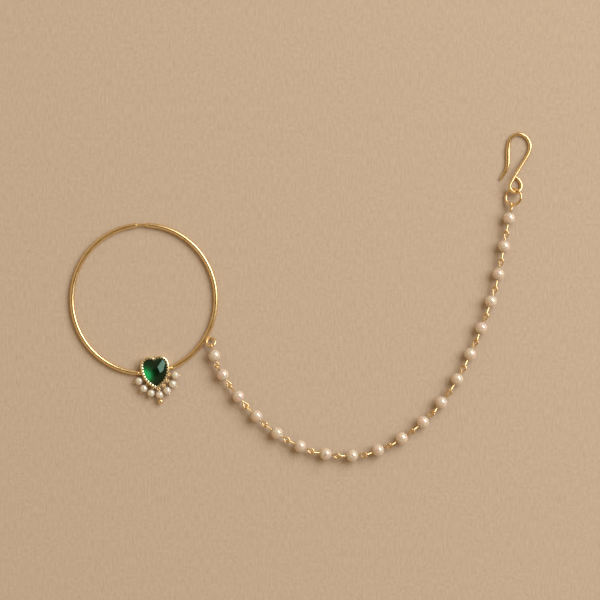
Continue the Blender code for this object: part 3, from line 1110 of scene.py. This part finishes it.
@dataclass
class PearlFringe:
    """Seven small pearls round the setting, each on a wire from its own eye to its own head.

    pitch is the turn from one pearl to the next. The middle one hangs middle_drop lower, and ends
    in drop_ball instead of a small head.
    """

    gold: bpy.types.Material
    pearls: PearlMaker
    hoop: Hoop
    setting: HeartSetting
    count: int = 7
    pearl: float = 0.0021
    bore: float = 0.0005
    pitch: float = 25.3
    side_gap: float = 0.00182
    tip_gap: float = 0.00175
    across: float = 0.00025
    down: float = 0.00026
    middle_drop: float = 0.0003
    wire: float = 0.00034
    eye: float = 0.00098
    eye_tilt: float = 9.0
    head: float = 0.0004
    drop_ball: float = 0.0014
    ease: float = 0.00005
    eye_steps: int = 36
    wire_sides: int = 12
    first_seed: int = 50

    def place(self, index: int) -> tuple[Vector, Vector]:
        """Where a pearl goes.

        Args:
            index: the pearl's number, from 0 at the left.

        Returns:
            Its centre, and the level way outwards from the setting through it.
        """
        turn = (index - (self.count - 1) / 2) * self.pitch
        side = math.sin(math.radians(turn))
        down = math.cos(math.radians(turn))
        side_reach = self.setting.lobe_spread + self.setting.lobe_radius + self.side_gap
        across = self.across + side_reach * side
        along = -self.down - (self.setting.length / 2 + self.tip_gap) * down
        if index == self.count // 2:
            along -= self.middle_drop
        lean = turned(self.hoop.setting_turn)
        return lean @ Vector((across, along, self.pearl / 2)), lean @ Vector((side, -down, 0.0))

    def hanger_mesh(self, index: int) -> bpy.types.Mesh:
        """An eye on the setting's wall, a wire through the pearl and a head on its end.

        Args:
            index: the pearl's number, from 0 at the left.

        Returns:
            The mesh of all that holds the pearl.
        """
        centre, out = self.place(index)
        eye_centre = centre - out * (self.pearl / 2 + self.ease + self.eye / 2)
        rise_turn = math.degrees(math.atan2(out.y, out.x))
        plane = tilted_plane(eye_centre, self.eye_tilt, rise_turn)
        radius = (self.eye - self.wire) / 2
        circle = [plane @ point for point in arc(Vector(), radius, 0.0, 360.0, self.eye_steps)]
        head = self.drop_ball if index == self.count // 2 else self.head
        head_centre = centre + out * (self.pearl / 2 + self.ease + head / 2)
        root = eye_centre - out * (self.eye / 2 + self.setting.wall)
        stub = even_path([root, eye_centre - out * radius], self.wire)
        peg = even_path([eye_centre + out * radius, head_centre], self.wire)
        bead = ball(head, bands=14)
        bead.transform(link_frame(head_centre, out))
        eye = WireSweep(circle, self.wire, self.wire_sides, endless=True).mesh()
        wires = [WireSweep(path, self.wire, self.wire_sides).mesh() for path in (stub, peg)]
        return joined([eye, *wires, bead])

    def build(self) -> None:
        """Makes and dresses each pearl and what holds it."""
        for index in range(self.count):
            hanger = f"fringe_hanger_{index + 1}"
            dress(hanger, self.hanger_mesh(index), self.gold, GOLD_SOLID)
            frame = link_frame(*self.place(index))
            name = f"small_pearl_{index + 1}"
            solid = f"fringe_pearl_{index + 1}"
            seed = self.first_seed + index
            self.pearls.make(name, self.pearl, self.bore, frame, seed, solid)


@dataclass
class ChainEyelet:
    """The small ring soldered to the hoop, where the chain starts."""

    gold: bpy.types.Material
    hoop: Hoop
    outside: float = 0.00295
    wire: float = 0.0006
    turn: float = -32.0
    tilt: float = 25.0
    chain_turn: float = -78.0
    solder_sink: float = 0.0002
    steps: int = 64

    def centre(self) -> Vector:
        """The eyelet's middle, on the hoop's outer side.

        Returns:
            The middle.
        """
        reach = (self.hoop.wire + self.outside) / 2 - self.solder_sink
        rise = (self.outside - self.wire) / 2 * math.sin(math.radians(self.tilt))
        return self.hoop.point(self.turn) + heading(self.turn) * reach + UP * rise

    def build(self) -> None:
        """Makes and dresses the eyelet."""
        plane = tilted_plane(self.centre(), self.tilt, self.chain_turn)
        circle = arc(Vector(), (self.outside - self.wire) / 2, 0.0, 360.0, self.steps)
        mesh = WireSweep(circle, self.wire, endless=True).mesh()
        dress("chain_eyelet", mesh, self.gold, GOLD_SOLID, plane)


@dataclass
class PearlChain:
    """Nineteen pearls, each on an eye pin whose loops hold the neighbours' loops.

    The stretches are how much longer than wide the loops at a joint are, opening is how many
    wires wide a loop's gap is, and route is the chain's way over the surface from its first joint.
    """

    gold: bpy.types.Material
    pearls: PearlMaker
    eyelet: ChainEyelet
    count: int = 19
    pearl: float = 0.0033
    bore: float = 0.0007
    wire: float = 0.00045
    neck: float = 0.00006
    loop_width: float = 0.0017
    loop_clearance: float = 0.00012
    stretch_first: float = 0.00031
    stretch_second: float = 0.00019
    stretch_near: float = 0.00094
    stretch_far: float = 0.00115
    stretch_last: float = 0.00142
    longer_loops_from: int = 12
    opening: float = 1.6
    roll_sway: float = 14.0
    sway_pace: float = 2.4
    loop_steps: int = 32
    steps_per_wire: int = 5
    softenings: int = 3
    wire_sides: int = 14
    route_steps: int = 24
    route: list[tuple[float, float]] = field(
        default_factory=lambda: [
            (0.0, 0.0),
            (0.00151, -0.00567),
            (0.00506, -0.01117),
            (0.01480, -0.02183),
            (0.02758, -0.02889),
            (0.04189, -0.02966),
            (0.05439, -0.02329),
            (0.06452, -0.01252),
            (0.07147, 0.00105),
            (0.07672, 0.01551),
            (0.07969, 0.03036),
            (0.08126, 0.03840),
        ]
    )

    def stretch(self, joint: int) -> float:
        """How much longer than wide the loops at a joint are.

        Args:
            joint: the joint's number, from 0 at the eyelet.

        Returns:
            The extra length.
        """
        if joint == 0:
            return self.stretch_first
        if joint == 1:
            return self.stretch_second
        if joint == self.count:
            return self.stretch_last
        return self.stretch_far if joint >= self.longer_loops_from else self.stretch_near

    def reach(self, joint: int) -> float:
        """The distance from a joint to the centre of the pearl beside it."""
        loop = self.loop_width - self.wire + self.stretch(joint)
        return self.pearl / 2 + self.neck + loop - (self.wire + self.loop_clearance) / 2

    def inside(self, ring_wire: float) -> float:
        """How far inside a ring's middle line the joint with its wire lies."""
        touching = (ring_wire + self.wire) / 2 + self.loop_clearance
        return touching - (self.wire + self.loop_clearance) / 2

    def first_joint(self) -> Vector:
        """Where the first loop hangs in the eyelet: just inside the eyelet's wire.

        Returns:
            The first joint.
        """
        tilt = math.radians(self.eyelet.tilt)
        climb = heading(self.eyelet.chain_turn) * math.cos(tilt) + UP * math.sin(tilt)
        radius = (self.eyelet.outside - self.eyelet.wire) / 2
        return self.eyelet.centre() + climb * (radius - self.inside(self.eyelet.wire))

    def joints(self) -> list[Vector]:
        """The joints between the links, one link's length after the other along the route.

        Returns:
            The joints, from the eyelet to the jump ring.
        """
        start = self.first_joint()
        route = [Vector((start.x + x, start.y + y, self.pearl / 2)) for x, y in self.route]
        path = smooth_path(route, self.route_steps)
        run_out = (path[-1] - path[-2]).normalized()
        joints = [start]
        here = 0
        for pin in range(self.count):
            length = self.reach(pin) + self.reach(pin + 1)
            while here < len(path) and (path[here] - joints[-1]).length < length:
                here += 1
            if here < len(path):
                near, far = path[here - 1], path[here]
                from_near = (near - joints[-1]).length
                from_far = (far - joints[-1]).length
                joints.append(near.lerp(far, (length - from_near) / (from_far - from_near)))
            else:
                joints.append(joints[-1] + run_out * length)
        return joints

    def loop_path(self, joint: int, roll: float) -> list[Vector]:
        """A teardrop loop from the pin's neck round to its open end.

        Args:
            joint: the joint that it lies at.
            roll: how its plane is rolled about the pin.

        Returns:
            The loop's points.
        """
        radius = (self.loop_width - self.wire) / 2
        neck = self.pearl / 2 + self.neck
        centre = neck + radius + self.stretch(joint)
        lean = math.degrees(math.asin(radius / (centre - neck)))
        straight = math.sqrt((centre - neck) ** 2 - radius**2)
        opening = self.opening * self.wire
        short_of = max(0.0, math.degrees((opening - straight) / radius))
        swing = 2 * lean + 180.0 - short_of
        flat = [Vector((0.0, neck))]
        for i in range(self.loop_steps + 1):
            way = heading(lean + 90.0 - swing * i / self.loop_steps)
            flat.append(Vector((radius * way.y, centre + radius * way.x)))
        if straight > opening:
            way = heading(-lean)
            flat.append(Vector((opening * way.y, neck + opening * way.x)))
        across = heading(roll)
        return [Vector((out * across.x, out * across.y, along)) for out, along in flat]

    def rolls(self, pin: int) -> tuple[float, float]:
        """The roll of a pin's two loops. All but the chain's last loop sway a little.

        Args:
            pin: the pin's number, from 0 at the eyelet.

        Returns:
            The roll of its first loop, and that of its second.
        """
        sway = self.roll_sway * math.sin(self.sway_pace * pin)
        if pin == self.count - 1:
            return LoopPlane.UPRIGHT.value + sway, LoopPlane.LEANING.value
        return LoopPlane.UPRIGHT.value + sway, LoopPlane.LEVEL.value + sway

    def pin_mesh(self, pin: int) -> bpy.types.Mesh:
        """A straight wire through the pearl with a loop at each end.

        Args:
            pin: the pin's number, from 0 at the eyelet.

        Returns:
            The wire's mesh, with the pearl's middle at its origin.
        """
        start_roll, end_roll = self.rolls(pin)
        flip = Matrix.Diagonal((1.0, 1.0, -1.0))
        start = [flip @ point for point in reversed(self.loop_path(pin, start_roll))]
        path = start + self.loop_path(pin + 1, end_roll)
        path = softened(even_path(path, self.wire / self.steps_per_wire), self.softenings)
        return WireSweep(path, self.wire, self.wire_sides).mesh()

    def build(self) -> list[Vector]:
        """Makes and dresses each pin and pearl.

        Returns:
            The chain's joints.
        """
        joints = self.joints()
        for pin in range(self.count):
            along = (joints[pin + 1] - joints[pin]).normalized()
            frame = link_frame(joints[pin] + along * self.reach(pin), along)
            number = f"{pin + 1:02d}"
            wire = f"eye_pin_{number}"
            dress(f"looped_wire_{number}", self.pin_mesh(pin), self.gold, wire, frame)
            solid = f"chain_pearl_{number}"
            self.pearls.make(f"pearl_{number}", self.pearl, self.bore, frame, pin, solid)
        return joints


class Bend(NamedTuple):
    """A point of the hook, and the section of its wire there.

    Its place is given from the middle of the jump ring: across in hook widths, along in hook
    lengths, and lift in rises of the eye. Thin and broad are factors on the wire's size and on
    its width.
    """

    across: float
    along: float
    lift: float
    thin: float
    broad: float


@dataclass
class RingAndHook:
    """The tilted ring at the chain's end, and the hook whose eye it holds."""

    gold: bpy.types.Material
    chain: PearlChain
    outside: float = 0.0051
    ring_wire: float = 0.0007
    tilt: float = 27.0
    rise_turn: float = -20.0
    cut: float = 3.0
    cut_turn: float = 35.0
    hook_wire: float = 0.0009
    hook_width: float = 0.00594
    hook_length: float = 0.0171
    eye_rise: float = 0.00175
    ring_steps: int = 96
    hook_steps: int = 12
    hook_sides: int = 24
    bends: list[Bend] = field(
        default_factory=lambda: [
            Bend(-0.564, 0.286, 0.00, 0.80, 1.00),
            Bend(-0.428, 0.361, 0.00, 0.92, 1.00),
            Bend(-0.313, 0.430, 0.00, 0.98, 1.08),
            Bend(-0.246, 0.511, 0.00, 0.96, 1.32),
            Bend(-0.232, 0.657, 0.00, 0.94, 1.45),
            Bend(-0.222, 0.787, 0.00, 0.96, 1.32),
            Bend(-0.100, 0.934, 0.00, 1.00, 1.05),
            Bend(0.254, 1.000, 0.00, 1.00, 1.05),
            Bend(0.604, 0.945, 0.00, 1.00, 1.08),
            Bend(0.768, 0.828, 0.02, 0.97, 1.15),
            Bend(0.709, 0.706, 0.10, 1.00, 1.05),
            Bend(0.286, 0.454, 0.50, 1.00, 1.00),
            Bend(-0.109, 0.226, 0.92, 1.00, 1.00),
            Bend(-0.173, 0.165, 1.00, 1.00, 1.00),
            Bend(-0.096, 0.107, 0.90, 1.00, 1.00),
            Bend(0.118, 0.075, 0.50, 1.00, 1.00),
            Bend(0.313, 0.110, 0.16, 1.00, 1.00),
            Bend(0.372, 0.193, 0.04, 1.00, 1.00),
            Bend(0.270, 0.270, 0.00, 0.98, 1.00),
            Bend(0.092, 0.322, 0.00, 0.95, 1.00),
        ]
    )

    def ring_centre(self, joints: list[Vector]) -> Vector:
        """The ring's middle, beyond the chain's last joint.

        Args:
            joints: the chain's joints.

        Returns:
            The middle.
        """
        along = (joints[-1] - joints[-2]).normalized()
        radius = (self.outside - self.ring_wire) / 2
        return joints[-1] + along * (radius - self.chain.inside(self.ring_wire))

    def ring_mesh(self) -> bpy.types.Mesh:
        """The ring, cut through once as a jump ring is.

        Returns:
            The ring's mesh, level and about its own middle.
        """
        stop = self.cut_turn + 360.0 - self.cut
        radius = (self.outside - self.ring_wire) / 2
        path = arc(Vector(), radius, self.cut_turn, stop, self.ring_steps)
        return WireSweep(path, self.ring_wire).mesh()

    def hook_mesh(self, centre: Vector) -> bpy.types.Mesh:
        """The bent hook, its long leg and bow hammered a little flat.

        Args:
            centre: the middle of the ring that holds its eye.

        Returns:
            The hook's mesh, in place.
        """
        points = []
        for bend in self.bends:
            x = centre.x + bend.across * self.hook_width
            y = centre.y + bend.along * self.hook_length
            points.append(Vector((x, y, self.hook_wire / 2 + bend.lift * self.eye_rise)))
        return WireSweep(
            smooth_path(points, self.hook_steps),
            self.hook_wire,
            self.hook_sides,
            thins=eased([bend.thin for bend in self.bends], self.hook_steps),
            broads=eased([bend.broad for bend in self.bends], self.hook_steps),
        ).mesh()

    def build(self, joints: list[Vector]) -> None:
        """Makes and dresses the ring and the hook.

        Args:
            joints: the chain's joints.
        """
        centre = self.ring_centre(joints)
        plane = tilted_plane(centre, self.tilt, self.rise_turn)
        dress("jump_ring", self.ring_mesh(), self.gold, "hook_ring", plane)
        dress("shepherd_hook", self.hook_mesh(centre), self.gold, "hair_hook")


@dataclass
class Studio:
    """The paper that the piece lies on, the lights and the camera straight above.

    middle is the point of the surface in the middle of the view. air_bands are the colours all
    round by height, and air_slant is how much brighter they are on the side of air_turn.
    """

    paper: bpy.types.Material
    middle: Vector = field(default_factory=lambda: Vector((0.03915, 0.019575, 0.0)))
    view_width: float = 0.162
    lens: float = 200.0
    sensor: float = 36.0
    nearest: float = 0.01
    pearl_height: float = 0.00165
    floor_reach: float = 1.2
    key_turn: float = 34.0
    key_lean: float = 50.0
    key_distance: float = 1.6
    key_width: float = 1.6
    key_height: float = 1.0
    key_power: float = 29.0
    key_colour: tuple[float, float, float] = (0.94, 1.0, 1.11)
    air_turn: float = 10.0
    air_strength: float = 0.56
    air_slant: float = -0.25
    air_bands: list[tuple[float, Colour]] = field(
        default_factory=lambda: [
            (0.00, (0.80, 0.54, 0.30, 1.0)),
            (0.45, (1.00, 0.79, 0.55, 1.0)),
            (0.78, (0.88, 0.69, 0.47, 1.0)),
            (0.92, (0.27, 0.19, 0.11, 1.0)),
        ]
    )

    def floor(self) -> None:
        """Lays a plain sheet of paper under everything."""
        shape = bmesh.new()
        bmesh.ops.create_grid(shape, x_segments=1, y_segments=1, size=self.floor_reach)
        mesh = bpy.data.meshes.new("paper_sheet")
        shape.to_mesh(mesh)
        shape.free()
        mesh.materials.append(self.paper)
        sheet = bpy.data.objects.new("paper_sheet", mesh)
        sheet.location = self.middle
        bpy.context.scene.collection.objects.link(sheet)

    def lights(self) -> None:
        """Hangs a key like a window at the upper right, and soft air all round."""
        lean = math.radians(self.key_lean)
        way = heading(self.key_turn) * math.sin(lean) + UP * math.cos(lean)
        light = bpy.data.lights.new("key", "AREA")
        light.shape = "RECTANGLE"
        light.size = self.key_width
        light.size_y = self.key_height
        light.energy = self.key_power
        light.color = self.key_colour
        key = bpy.data.objects.new("key", light)
        key.location = self.middle + way * self.key_distance
        key.rotation_euler = way.to_track_quat("Z", "Y").to_euler()
        bpy.context.scene.collection.objects.link(key)
        bpy.context.scene.world = self.air()
        bpy.context.scene.view_settings.view_transform = "Standard"

    def air(self) -> bpy.types.World:
        """A dim ceiling over pale walls, a little brighter on the side away from the key.

        Returns:
            The world.
        """
        world = bpy.data.worlds.new("soft_air")
        world.use_nodes = True
        tree = world.node_tree
        way = tree.nodes.new("ShaderNodeTexCoord").outputs["Generated"]
        split = tree.nodes.new("ShaderNodeSeparateXYZ")
        tree.links.new(way, split.inputs["Vector"])
        rise = tree.nodes.new("ShaderNodeValToRGB")
        fill_ramp(rise.color_ramp, self.air_bands)
        tree.links.new(split.outputs["Z"], rise.inputs["Fac"])
        side = tree.nodes.new("ShaderNodeVectorMath")
        side.operation = "DOT_PRODUCT"
        side.inputs[1].default_value = heading(self.air_turn)
        tree.links.new(way, side.inputs[0])
        gain = tree.nodes.new("ShaderNodeMapRange")
        gain.inputs["From Min"].default_value = -1.0
        gain.inputs["To Min"].default_value = self.air_strength * (1.0 - self.air_slant)
        gain.inputs["To Max"].default_value = self.air_strength * (1.0 + self.air_slant)
        tree.links.new(side.outputs["Value"], gain.inputs["Value"])
        tree.links.new(rise.outputs["Color"], tree.nodes["Background"].inputs["Color"])
        tree.links.new(gain.outputs["Result"], tree.nodes["Background"].inputs["Strength"])
        return world

    def camera(self) -> None:
        """Sets a long lens straight above, framed at the height of the pearls' middles."""
        data = bpy.data.cameras.new("camera")
        data.lens = self.lens
        data.sensor_width = self.sensor
        data.clip_start = self.nearest
        camera = bpy.data.objects.new("camera", data)
        distance = self.view_width * self.lens / self.sensor
        camera.location = self.middle + UP * (self.pearl_height + distance)
        bpy.context.scene.collection.objects.link(camera)
        bpy.context.scene.camera = camera

    def build(self) -> None:
        """Sets up the floor, the lights and the camera."""
        self.floor()
        self.lights()
        self.camera()


def main() -> None:
    """Loads the frame, builds each sub-assembly in order and logs each piece's face count."""
    logging.basicConfig(level=logging.INFO, format="%(name)s %(message)s")
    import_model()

    gold = GoldFinish().make()
    # A paler, brighter copy of the gold: painted highlight on the setting's wall and teeth.
    gold_highlit = GoldFinish(
        name="gold_painted_highlight", deep=(0.86, 0.73, 0.42, 1.0), pale=(0.95, 0.84, 0.55, 1.0)
    ).make()
    nacre = PearlFinish().make()
    # A darker copy of the nacre for the chain's larger pearls: painted shade.
    chain_nacre_painted_shade = PearlFinish(
        name="chain_nacre_painted_shade",
        green=(0.66, 0.56, 0.42, 1.0),
        cream=(0.69, 0.55, 0.41, 1.0),
        rose=(0.70, 0.53, 0.42, 1.0),
    ).make()
    glass = StoneFinish().make()
    Studio(PaperFinish().make()).build()

    hoop = Hoop(gold)
    setting = HeartSetting(gold, gold_highlit, glass, hoop)
    fringe = PearlFringe(gold, PearlMaker(nacre), hoop, setting)
    eyelet = ChainEyelet(gold, hoop)
    chain = PearlChain(gold, PearlMaker(chain_nacre_painted_shade), eyelet)
    for part in (hoop, setting, fringe, eyelet):
        part.build()
    RingAndHook(gold, chain).build(chain.build())


if __name__ == "__main__":
    main()
